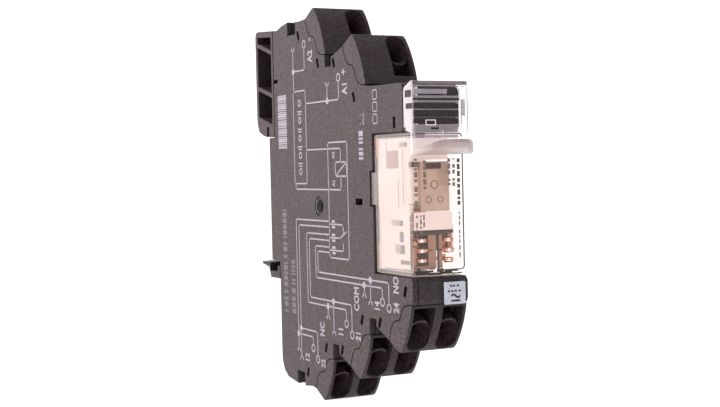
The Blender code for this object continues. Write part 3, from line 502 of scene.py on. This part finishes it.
# The input box, the relay's outline and its coil, as (Y low, Y high, Z low, Z high).
FRAMES = [(-22.4, -15.4, 3.8, 25.4), (-43.8, -34.0, -12.7, 13.0), (-43.4, -37.7, 5.5, 8.6)]
DOTS = [(-15.8, 30.1), (-34.3, 22.3), (-15.5, -31.7), (-17.0, -30.3), (-32.3, -23.8), (-35.2, -22.5),
        (-50.7, -17.7), (-53.6, -16.4)]
RINGS = [(-22.2, 36.0), (-40.2, 27.1), (-23.7, -34.3), (-26.2, -36.6), (-41.7, -26.8), (-44.4, -29.0),
         (-59.0, -20.6), (-61.9, -21.6)]
FORKS_UP = [(-15.8, 35.7), (-34.3, 26.5)]
FORKS_DOWN = [(-15.5, -36.0), (-17.0, -37.8), (-32.3, -26.8), (-35.2, -30.0), (-50.7, -20.4),
              (-53.6, -21.7)]

# Each word with the Y and Z of its first corner, and its size.
WORDS = [
    ("A2", -26.6, 31.6, 2.4), ("-", -26.2, 36.4, 2.4), ("A1", -44.4, 23.2, 2.4), ("+", -44.0, 27.4, 2.4),
    ("COM", -48.0, -23.6, 2.3), ("NO", -66.1, -18.4, 2.2), ("24", -66.1, -22.4, 2.2),
    ("14", -57.6, -22.8, 2.2), ("NC", -30.0, -31.0, 2.2), ("11", -39.8, -30.0, 2.2),
    ("21", -48.4, -30.0, 2.2), ("12", -21.3, -38.0, 2.2), ("22", -30.0, -38.2, 2.0),
    ("A2", -37.4, 9.4, 1.3), ("A1", -37.4, 3.2, 1.3),
]


def add_stroke(data, path, width=LINE):
    """Adds a line of even width along a path of (Y, Z) points, square at its ends."""
    for start, end in zip(path, path[1:]):
        a, b = Vector(start), Vector(end)
        along = (b - a).normalized()
        across = Vector((-along.y, along.x)) * width / 2
        a, b = a - along * width / 2, b + along * width / 2
        add_prism(data, [a - across, b - across, b + across, a + across], PRINT_AT, INK, PRINT_AXES)


def add_patch(data, y0, y1, z0, z1):
    """Adds a printed rectangle on the side plate."""
    add_prism(data, [(y0, z0), (y1, z0), (y1, z1), (y0, z1)], PRINT_AT, INK, PRINT_AXES)


def add_disc(data, centre, radius, at):
    """Adds a printed disc on the side plate."""
    outline = []
    corners = 20
    for step in range(corners):
        turn = math.tau * step / corners
        outline.append((centre[0] + radius * math.cos(turn), centre[1] + radius * math.sin(turn)))
    add_prism(data, outline, at, INK, PRINT_AXES)


def add_small_symbols(data):
    """The filter and rectifier signs inside the input box, as plain marks."""
    for z in (22.6, 18.6, 14.4, 10.4, 6.6):
        add_annulus(data, (-18.9, z), 0.85, 0.5, PRINT_AT, INK, PRINT_AXES, steps=12)
    for z in (20.6, 16.5, 12.4, 8.5):
        add_stroke(data, [(-20.0, z), (-17.8, z)], SYMBOL_LINE)
        add_stroke(data, [(-19.7, z - 0.6), (-18.1, z - 0.6)], SYMBOL_LINE)
    near, far = 0.35, 0.9
    for z in (-5.2, -8.2, -11.0):
        add_patch(data, -36.9, -35.2, z - far, z - near)
        add_patch(data, -36.9, -35.2, z + near, z + far)


def add_dashes(data, y0, y1, z0, z1, seed, draw=add_patch):
    """A row of short blocks of uneven length, where the real part carries its own text."""
    chance = random.Random(seed)
    z = z0
    while z < z1:
        length = chance.choice((0.5, 0.8, 1.1))
        draw(data, y0, y1, z, min(z + length, z1))
        z += length + chance.choice((0.3, 0.35, 0.9))


BAR_ROW = (-11.2, -6.0)
BAR_START, BAR_PITCH, BAR_COUNT = 12.2, 0.5, 26
BAR_WIDTHS = (0.4, 0.28, 0.34, 0.45)
RATING_ROW = (-51.6, -49.6, 9.0, 15.4)
BOX_ROW = (-58.4, -56.4)
BOX_STARTS, BOX_HEIGHT = (16.4, 18.9, 21.4), 1.9


def add_side_rows(data):
    """Plain bars, dashes and boxes in the places of the plate's codes."""
    for number in range(BAR_COUNT):
        z = BAR_START + number * BAR_PITCH
        add_patch(data, *BAR_ROW, z, z + BAR_WIDTHS[number % len(BAR_WIDTHS)])
    add_dashes(data, *RATING_ROW, 8)
    y0, y1 = BOX_ROW
    for z in BOX_STARTS:
        top = z + BOX_HEIGHT
        add_stroke(data, [(y0, z), (y1, z), (y1, top), (y0, top), (y0, z)], THIN_LINE)
    wave = [(-50.6 + 0.5 * math.sin(step * math.pi / 4), 16.6 + step * 0.22) for step in range(9)]
    add_stroke(data, wave, SYMBOL_LINE)
    add_stroke(data, [(-52.0, 16.4), (-52.0, 18.6)], SYMBOL_LINE)


def make_side_print():
    """The circuit diagram and the other white printing on the side plate."""
    data = bmesh.new()
    for path in CIRCUIT:
        add_stroke(data, path)
    for y0, y1, z0, z1 in FRAMES:
        add_stroke(data, [(y0, z0), (y1, z0), (y1, z1), (y0, z1), (y0, z0)])
    for centre in DOTS:
        add_disc(data, centre, DOT, RAISED_AT)
    for centre in RINGS:
        add_annulus(data, centre, *RING, PRINT_AT, INK, PRINT_AXES)
    for centre in FORKS_UP:
        add_annulus(data, centre, *RING, PRINT_AT, INK, PRINT_AXES, 180, 360, 10)
    for centre in FORKS_DOWN:
        add_annulus(data, centre, *RING, PRINT_AT, INK, PRINT_AXES, 0, 180, 10)
    add_small_symbols(data)
    add_side_rows(data)
    new_piece("side_print", data, MATERIALS["white_ink"], "socket")


FAINT_ROWS = {3: (-9.8, -7.4, -27.2, -2.0), 5: (-14.3, -12.0, -27.2, -13.6)}


def make_faint_print():
    """Two rows of faint dashes low on the side plate, each drawn from its own seed."""
    data = bmesh.new()
    for seed, row in FAINT_ROWS.items():
        add_dashes(data, *row, seed)
    new_piece("side_part_rows", data, MATERIALS["faint_ink"], "socket")


STROKE_WEIGHT = 0.028
WORD_STRETCH = 1.45


def text_mesh(name, words, size):
    """Words as a flat mesh, read along X, as thick as the ink."""
    curve = bpy.data.curves.new(name, "FONT")
    curve.body = words
    curve.size = size * MM
    curve.extrude = INK / 2 * MM
    curve.offset = STROKE_WEIGHT * size * MM
    curve.resolution_u = 2
    holder = bpy.data.objects.new(name, curve)
    bpy.context.scene.collection.objects.link(holder)
    bpy.context.view_layer.update()
    mesh = bpy.data.meshes.new_from_object(holder.evaluated_get(bpy.context.evaluated_depsgraph_get()))
    bpy.data.objects.remove(holder)
    return mesh


DIMPLE = (-28.7, -1.3)
DIMPLE_RADIUS = 1.4
DIMPLE_RIM = 1.75


def make_dimple():
    """A small round recess in the side plate: a dark disc in it is painted shade, and a paler arc along one
    side of its rim is a painted highlight.
    """
    data = bmesh.new()
    # Painted shade: a dark disc in the recess.
    add_disc(data, DIMPLE, DIMPLE_RADIUS, (SIDE_X + 0.02, 0, 0))
    new_piece("side_dimple", data, MATERIALS["recess"], "socket")
    data = bmesh.new()
    # Painted highlight: a paler arc along one side of the rim.
    add_annulus(data, DIMPLE, DIMPLE_RIM, DIMPLE_RADIUS, PRINT_AT, INK, PRINT_AXES, 290, 430, 14)
    new_piece("side_dimple_rim_highlight", data, MATERIALS["faint_ink"], "socket")


def make_words():
    """The terminal names, which read upwards on the side plate."""
    data = bmesh.new()
    turn = Matrix(((0, 0, -1, SIDE_X * MM), (0, WORD_STRETCH, 0, 0), (1, 0, 0, 0), (0, 0, 0, 1)))
    for number, (words, y, z, size) in enumerate(WORDS):
        mesh = text_mesh(f"word_{number}", words, size)
        mesh.transform(Matrix.Translation((0, y * MM, z * MM)) @ turn)
        data.from_mesh(mesh)
        bpy.data.meshes.remove(mesh)
    new_piece("terminal_names", data, MATERIALS["white_ink"], "socket")


# ---------------------------------------------------------------- label and relay printing
LABEL_Y = low_end("marker_label", Y) + 2 * SINK
SIGN_LEFT, SIGN_RIGHT = 1.9, 3.95
WAVE_Z, WAVE_HEIGHT, WAVE_PITCH = -18.75, 0.32, 0.17
DASH = 0.5
SIGN_HALF_LINE = 0.19


def make_label_print():
    """An alternating and direct current sign on the marker card, under two rows of dashes."""
    data = bmesh.new()
    wave = []
    for step in range(13):
        wave.append((SIGN_LEFT + step * WAVE_PITCH, WAVE_Z + WAVE_HEIGHT * math.sin(step * math.pi / 6)))
    lines = [wave, [(SIGN_LEFT, -19.7), (SIGN_RIGHT, -19.7)]]
    for z, starts in ((-16.7, (1.6, 2.3, 3.2)), (-17.75, (1.1, 1.9, 2.7, 3.6))):
        for x in starts:
            lines.append([(x, z), (x + DASH, z)])
    for path in lines:
        for a, b in zip(path, path[1:]):
            a, b = Vector(a), Vector(b)
            across = Vector((-(b - a).y, (b - a).x)).normalized() * SIGN_HALF_LINE
            outline = [a - across, b - across, b + across, a + across]
            add_prism(data, outline, (0, LABEL_Y, 0), INK, FRONT_AXES)
    new_piece("label_sign", data, MATERIALS["black_plastic"], "marker")


COVER_FRONT = low_end("relay_cover", Y)
COVER_PRINT_Y = COVER_FRONT + SINK

# Rows of dashes on the relay's front, as (X low, X high, Z low, Z high).
RELAY_BOLD_ROWS = [(4.5, 5.15, -0.6, 9.0)]
RELAY_FINE_ROWS = [(-5.35, -4.65, -0.6, 8.8), (-3.3, -2.6, 2.8, 8.8), (2.3, 2.95, 3.4, 8.8),
                   (3.4, 4.0, 3.2, 8.8), (-5.1, -4.75, -9.4, -2.0), (-4.2, -3.85, -6.2, -2.4),
                   (-3.5, -3.15, -4.8, -2.2), (4.7, 5.0, -11.2, -2.0)]


def make_relay_print():
    """Rows of short dark dashes on the relay's front, where the real one is printed."""
    data = bmesh.new()

    def draw(made, x0, x1, z0, z1):
        outline = [(x0, z0), (x1, z0), (x1, z1), (x0, z1)]
        add_prism(made, outline, (0, COVER_PRINT_Y, 0), INK, FRONT_AXES)

    for seed, row in enumerate(RELAY_BOLD_ROWS):
        add_dashes(data, *row, seed, draw)
    new_piece("relay_front_print", data, MATERIALS["dark_ink"], "relay")
    data = bmesh.new()
    for seed, row in enumerate(RELAY_FINE_ROWS):
        add_dashes(data, *row, seed + 20, draw)
    new_piece("relay_fine_print", data, MATERIALS["brown_ink"], "relay")


# ---------------------------------------------------------------- lever
LEVER_EDGE = 0.09
GRIP_TOP = 12.9
GRIP_BACK = -73.2


def rounded_mesh(node, width):
    """A CAD node's mesh with its sharp edges rounded."""
    data = bmesh.new()
    data.from_mesh(frame["nodes"][node].data)
    bmesh.ops.remove_doubles(data, verts=data.verts, dist=1e-6)
    bmesh.ops.dissolve_limit(data, angle_limit=math.radians(1), verts=data.verts, edges=data.edges)
    sharp = [edge for edge in data.edges
             if len(edge.link_faces) == 2 and edge.calc_face_angle(0.0) > math.radians(28)]
    bmesh.ops.bevel(data, geom=sharp, offset=width * MM, segments=2, profile=0.5, affect="EDGES",
                    clamp_overlap=True)
    return data


def make_lever():
    """The clear lever, with its edges rounded and its grip frosted."""
    data = rounded_mesh("ejector_lever", LEVER_EDGE)
    lever = new_piece("lever_moulding", data, MATERIALS["clear_lever"], "lever")
    lever.data.materials.append(MATERIALS["frosted"])
    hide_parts("ejector_lever")
    smooth_shade(lever)
    for face in lever.data.polygons:
        centre = face.center / MM
        if centre.z < GRIP_TOP and centre.y < GRIP_BACK:
            face.material_index = 1


LEVER_FRONT = (-73.52, -73.41)
LEVER_LEFT = low_end("ejector_lever", X)
LEVER_SIDE = (LEVER_LEFT - 0.06, LEVER_LEFT + 0.02)

# Marks on the lever's front, as (X low, X high, Z low, Z high), by material; the thin dark edge lines are
# painted shade and the glowing strip is a painted highlight.
LEVER_MARKS = {
    "black_plastic": [
        (-6.2, 4.3, 20.3, 20.76), (-6.2, 3.45, 18.62, 19.84), (-6.2, 4.1, 17.0, 18.38),
        (-6.2, 3.4, 15.74, 16.9), (1.55, 3.4, 21.4, 22.85), (-2.3, -0.5, 14.55, 15.0),
    ],
    "window": [(-6.1, 1.5, 21.6, 22.55)],
    "top_bar": [(-6.2, 6.1, 23.35, 24.15), (-6.1, 4.1, 22.88, 23.12)],
    "painted_edge_shade": [(-5.9, 4.1, 13.6, 13.82), (6.1, 6.2, 14.2, 23.2), (4.7, 4.78, 15.6, 20.6),
                  (4.7, 5.6, 23.0, 23.1), (4.2, 4.3, 20.8, 22.8)],
    "smoky": [(-5.9, 3.9, 13.9, 15.6), (-5.9, 3.9, 12.9, 13.5), (4.75, 5.6, 17.2, 20.5)],
    "painted_glow_edge": [(4.35, 4.6, 15.4, 23.2)],
}

# Marks on the lever's left side, as (Y low, Y high, Z low, Z high).
LEVER_SIDE_MARKS = [(-72.8, -70.3, 21.0, 22.4), (-73.3, -70.6, 18.7, 19.8), (-70.3, -69.7, 14.4, 15.1)]


def make_lever_details():
    """The lug seen behind the lever's slots, the lamp window and the small marks on the panel, with painted
    shade lines along its clear edges and a painted highlight strip.
    """
    for number, (key, boxes) in enumerate(LEVER_MARKS.items()):
        data = bmesh.new()
        for x0, x1, z0, z1 in boxes:
            add_box(data, (x0, x1), LEVER_FRONT, (z0, z1))
        if key == "black_plastic":
            for y0, y1, z0, z1 in LEVER_SIDE_MARKS:
                add_box(data, LEVER_SIDE, (y0, y1), (z0, z1))
        marks = new_piece(f"lever_marks_{number}", data, MATERIALS[key], "lever")
        rounding = marks.modifiers.new("rounded", "BEVEL")
        rounding.width = 0.04 * MM
        rounding.segments = 2
    make_frame_mark()
    make_edge_line()


def make_frame_mark():
    """A small raised frame on the lever's panel, drawn in a glowing material: painted highlight."""
    data = bmesh.new()
    x0, x1, z0, z1 = -3.45, -1.3, 15.45, 16.4
    half = 0.09
    front = (LEVER_FRONT[0] - 0.06, LEVER_FRONT[0])
    for xs, zs in (((x0, x1), (z0, z0)), ((x0, x1), (z1, z1)), ((x0, x0), (z0, z1)), ((x1, x1), (z0, z1))):
        add_box(data, (xs[0] - half, xs[1] + half), front, (zs[0] - half, zs[1] + half))
    new_piece("lever_frame_mark", data, MATERIALS["painted_glow_edge"], "lever")


def make_edge_line():
    """The painted shade line round the panel's lower right corner, where its clear edge looks dark."""
    data = bmesh.new()
    centre_x, centre_z, radius = 4.1, 13.2, 0.5
    for step in range(6):
        turn = math.radians(90 - 18 * step)
        x = centre_x + radius * math.cos(turn)
        z = centre_z + radius * math.sin(turn)
        add_box(data, (x - 0.1, x + 0.1), LEVER_FRONT, (z - 0.12, z + 0.12))
    new_piece("lever_edge_shade_line", data, MATERIALS["painted_edge_shade"], "lever")


# ---------------------------------------------------------------- relay detail
COVER_LINE_Y = (COVER_FRONT + 0.02, COVER_FRONT + 0.2)
COVER_CORNER = (5.15, -12.8)
CORNER_RADIUS = 0.7
CORNER_LINE = 0.1


def make_cover_edges():
    """Painted shade: the dark line that the cover's thick clear corner shows along its right and lower front
    edges.
    """
    data = bmesh.new()
    add_box(data, (5.75, 5.95), COVER_LINE_Y, (-12.8, 12.6))
    add_box(data, (1.2, 5.2), COVER_LINE_Y, (-13.6, -13.4))
    for step in range(7):
        turn = math.radians(-90 + 15 * step)
        x = COVER_CORNER[0] + CORNER_RADIUS * math.cos(turn)
        z = COVER_CORNER[1] + CORNER_RADIUS * math.sin(turn)
        add_box(data, (x - CORNER_LINE, x + CORNER_LINE), COVER_LINE_Y, (z - CORNER_LINE, z + CORNER_LINE))
    new_piece("cover_corner_shade_line", data, MATERIALS["brown_and_edge_shade"], "relay")


BASE_LEFT = low_end("relay_base", X)
BASE_SIDE_X = (BASE_LEFT - 0.08, BASE_LEFT + 0.02)
MARK_THICK = 0.12

# Patches on the left of the relay's base, as (Y low, Y high, Z low, Z high), by material.
RELAY_SIDE_MARKS = {
    "coil_tape": [(-64.9, -59.9, 7.0, 10.6)],
    "rosy": [(-66.6, -61.7, -4.65, -3.55), (-66.8, -65.0, -7.95, -5.85), (-67.3, -63.2, -10.3, -8.5),
             (-69.4, -65.4, -12.4, -11.55)],
    "orange": [(-56.6, -54.8, 9.3, 13.3), (-56.2, -54.8, -14.0, -8.6)],
    "faint_ink": [(-69.0, -65.6, 11.3, 12.2)],
    "cream_plastic": [(-69.2, -65.3, -13.3, -0.3), (-69.2, -67.7, -0.2, 13.0)],
    "window": [(-64.85, -64.7, -1.1, 4.6), (-59.9, -59.75, 10.6, 13.0), (-61.7, -55.5, -3.5, -3.35),
               (-66.9, -66.75, -0.2, 10.9), (-68.2, -68.1, -0.2, 10.9), (-64.0, -55.4, -8.6, -8.45)],
}

# Patches at the cover's front and behind it, as (front Y, X low, X high, Z low, Z high), by material; the
# brown lines low down at and just behind the cover's front are painted shade along its thick lower edge.
RELAY_FRONT_MARKS = {
    "brown_and_edge_shade": [(-70.35, -3.6, 3.0, -6.5, -5.8), (-70.35, 0.35, 0.75, -13.4, -6.4),
                   (-71.74, -5.4, -2.4, -14.3, -13.7), (-71.74, -2.6, 0.4, -14.45, -14.0),
                   (-71.74, 0.2, 2.9, -14.3, -13.85), (-71.74, 2.7, 5.2, -14.4, -14.15),
                   (-71.5, -5.0, -4.2, -13.6, -12.9), (-71.5, -0.4, 1.1, -13.9, -13.2),
                   (-71.3, -5.6, -1.2, -13.9, -13.5), (-71.3, 1.4, 4.6, -13.9, -13.6)],
    "orange": [(-69.3, 3.4, 4.2, -10.2, -4.6)],
    "cream_plastic": [(-70.4, -4.9, 3.9, -5.5, -1.9)],
    "carrier": [(-70.2, -5.1, -4.4, -13.2, -9.0), (-70.2, -1.6, 0.2, -13.2, -6.5),
                (-70.2, -4.6, -1.5, -13.3, -12.7), (-70.2, 0.8, 1.6, -13.2, -6.5)],
}


def make_relay_marks():
    """What shows through the cover: the coil's tape, the pole carrier and small moulded steps."""
    for number, (key, boxes) in enumerate(RELAY_SIDE_MARKS.items()):
        data = bmesh.new()
        for y0, y1, z0, z1 in boxes:
            add_box(data, BASE_SIDE_X, (y0, y1), (z0, z1))
        new_piece(f"relay_side_marks_{number}", data, MATERIALS[key], "relay")
    for number, (key, boxes) in enumerate(RELAY_FRONT_MARKS.items()):
        data = bmesh.new()
        for y, x0, x1, z0, z1 in boxes:
            add_box(data, (x0, x1), (y, y + MARK_THICK), (z0, z1))
        new_piece(f"relay_front_marks_{number}", data, MATERIALS[key], "relay")


POLE_X = 3.1
BLADE_HALF = 1.0
CURL_RADIUS = 0.55
CURL_THICK = 0.22
CURL_DROP = 0.1
SILVER_RADIUS = 0.55
SILVER_SHAPE = (1.15, 0.35, 0.75, 1.0)
SILVER_FORWARD = 0.42


def make_contact_tip(name, body, x, y, z):
    """A copper strip folded round into a C that opens to the rear, drawn out along X."""
    data = bmesh.new()
    add_annulus(data, (y, z), CURL_RADIUS, CURL_RADIUS - CURL_THICK, (x - BLADE_HALF, 0, 0), 2 * BLADE_HALF,
                ((0, 1, 0), (0, 0, 1), (1, 0, 0)), 95, 265, 12)
    smooth_shade(new_piece(name, data, MATERIALS["copper_alloy"], body))


def make_silver_face(name, body, x, y, z):
    """A domed silver face in front of a contact tip."""
    data = bmesh.new()
    place = Matrix.Translation(Vector((x, y - SILVER_FORWARD, z)) * MM)
    bmesh.ops.create_uvsphere(data, u_segments=16, v_segments=8, radius=SILVER_RADIUS * MM,
                              matrix=place @ Matrix.Diagonal(SILVER_SHAPE))
    smooth_shade(new_piece(name, data, MATERIALS["silver"], body), 60)


def make_contact_fronts():
    """Folded tips and silver faces on both poles' contact blades."""
    for pole, x in ((1, -POLE_X), (2, POLE_X)):
        for name, body, y, z in (("nc", "relay", -69.75, -7.5),
                                 ("moving", f"moving_blade_{pole}", -69.9, -9.55),
                                 ("no", "relay", -69.75, -11.55)):
            make_contact_tip(f"{name}_tip_{pole}", body, x, y, z - CURL_DROP)
            make_silver_face(f"{name}_silver_{pole}", body, x, y, z - CURL_DROP)


PLATE_Y = low_end("yoke", Y)
STAMPS = {(0.2, 3.6): 0.9, (-1.2, 0.6): 0.7, (1.5, 0.6): 0.7}
STAMP_LINE = 0.2


def make_plate_detail():
    """A dark band and stamped marks on the yoke's front plate."""
    data = bmesh.new()
    add_box(data, (-1.9, 1.75), (PLATE_Y - 0.06, PLATE_Y + 0.02), (6.75, 8.0))
    new_piece("plate_top_band", data, MATERIALS["brown_and_edge_shade"], "relay")
    data = bmesh.new()
    for centre, radius in STAMPS.items():
        add_annulus(data, centre, radius, radius - STAMP_LINE, (0, PLATE_Y, 0), 0.06, FRONT_AXES, steps=20)
    new_piece("plate_stamps", data, MATERIALS["brown_ink"], "relay")


def make_latch_spring():
    """The latch's coil, copied from the CAD spring and shaded smooth."""
    data = bmesh.new()
    data.from_mesh(frame["nodes"]["latch_spring"].data)
    coil = new_piece("latch_spring_coil", data, MATERIALS["spring_steel"], "socket")
    smooth_shade(coil)
    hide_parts("latch_spring")
    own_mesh(coil)


# ---------------------------------------------------------------- stage, camera and light
CAMERA_PLACE = (-127.94, -293.74, 7.85)
CAMERA_TURN = (-26.46, 1.72, 1.283)
FOCAL = 64.1
SENSOR = 36.0


def make_camera():
    """A camera at the given place, turned by azimuth, elevation and roll."""
    azimuth, elevation, roll = (math.radians(angle) for angle in CAMERA_TURN)
    back = Vector((math.sin(azimuth) * math.cos(elevation), -math.cos(azimuth) * math.cos(elevation),
                   math.sin(elevation)))
    right = (-back).cross(Vector((0, 0, 1))).normalized()
    down = (-back).cross(right)
    across = right * math.cos(roll) + down * math.sin(roll)
    lower = down * math.cos(roll) - right * math.sin(roll)
    data = bpy.data.cameras.new("camera")
    data.lens = FOCAL
    data.sensor_width = SENSOR
    data.clip_start = 0.01
    camera = bpy.data.objects.new("camera", data)
    bpy.context.scene.collection.objects.link(camera)
    turned = Matrix((across, -lower, back)).transposed().to_4x4()
    camera.matrix_world = Matrix.Translation(Vector(CAMERA_PLACE) * MM) @ turned
    bpy.context.scene.camera = camera


def make_floor():
    """A wide pale floor just under the part."""
    data = bmesh.new()
    bmesh.ops.create_grid(data, x_segments=1, y_segments=1, size=3.0)
    mesh = bpy.data.meshes.new("floor")
    data.to_mesh(mesh)
    data.free()
    floor = bpy.data.objects.new("floor", mesh)
    floor.location.z = cad_box[0][2] - 0.0003
    bpy.context.scene.collection.objects.link(floor)
    g = Graph("pale_floor")
    glow = g.add("ShaderNodeEmission")
    g.feed(glow, "Strength", 1.35)
    blend = g.add("ShaderNodeMixShader")
    g.feed(blend, "Fac", 0.7)
    g.link(g.surface(Base_Color=rgb(0.9, 0.9, 0.9), Roughness=0.9), blend.inputs[1])
    g.link(glow.outputs[0], blend.inputs[2])
    mesh.materials.append(g.finish(blend.outputs[0]))


SEEN_WORLD = 1.3


def make_world():
    """A white studio, brighter behind the part than in front of it."""
    world = bpy.data.worlds.new("studio")
    bpy.context.scene.world = world
    world.use_nodes = True
    tree = world.node_tree
    tree.nodes.clear()
    coordinate = tree.nodes.new("ShaderNodeTexCoord")
    split = tree.nodes.new("ShaderNodeSeparateXYZ")
    reach = tree.nodes.new("ShaderNodeMapRange")
    for name, value in (("From Min", -0.6), ("From Max", 0.9), ("To Min", 0.32), ("To Max", 1.5)):
        reach.inputs[name].default_value = value
    path = tree.nodes.new("ShaderNodeLightPath")
    seen = tree.nodes.new("ShaderNodeMix")
    seen.inputs[3].default_value = SEEN_WORLD
    background = tree.nodes.new("ShaderNodeBackground")
    background.inputs["Color"].default_value = (1, 1, 1, 1)
    out = tree.nodes.new("ShaderNodeOutputWorld")
    tree.links.new(coordinate.outputs["Generated"], split.inputs[0])
    tree.links.new(split.outputs["Y"], reach.inputs["Value"])
    tree.links.new(path.outputs["Is Camera Ray"], seen.inputs[0])
    tree.links.new(reach.outputs["Result"], seen.inputs[2])
    tree.links.new(seen.outputs[0], background.inputs["Strength"])
    tree.links.new(background.outputs[0], out.inputs[0])


def make_lamp(name, place, target, size, power, colour=(1, 1, 1)):
    data = bpy.data.lights.new(name, "AREA")
    data.shape = "RECTANGLE"
    data.size, data.size_y = size
    data.energy = power
    data.color = colour
    lamp = bpy.data.objects.new(name, data)
    lamp.location = place
    lamp.rotation_euler = (Vector(target) - Vector(place)).to_track_quat("-Z", "Y").to_euler()
    bpy.context.scene.collection.objects.link(lamp)


def make_studio():
    """The camera, the floor, the world and two lamps."""
    make_camera()
    make_floor()
    make_world()
    make_lamp("left_softbox", (-0.7, 0.1, 0.25), (0, -0.03, 0), (0.7, 0.7), 7.2, (1.0, 0.97, 0.97))
    make_lamp("front_fill", (0.35, -0.8, 0.45), (0, -0.05, 0), (0.5, 0.5), 1.3)
    bpy.context.scene.view_settings.view_transform = "Standard"


dress_nodes()
make_side_print()
make_faint_print()
make_dimple()
make_words()
make_label_print()
make_relay_print()
make_lever()
make_lever_details()
make_cover_edges()
make_contact_fronts()
make_plate_detail()
make_relay_marks()
make_latch_spring()
make_studio()
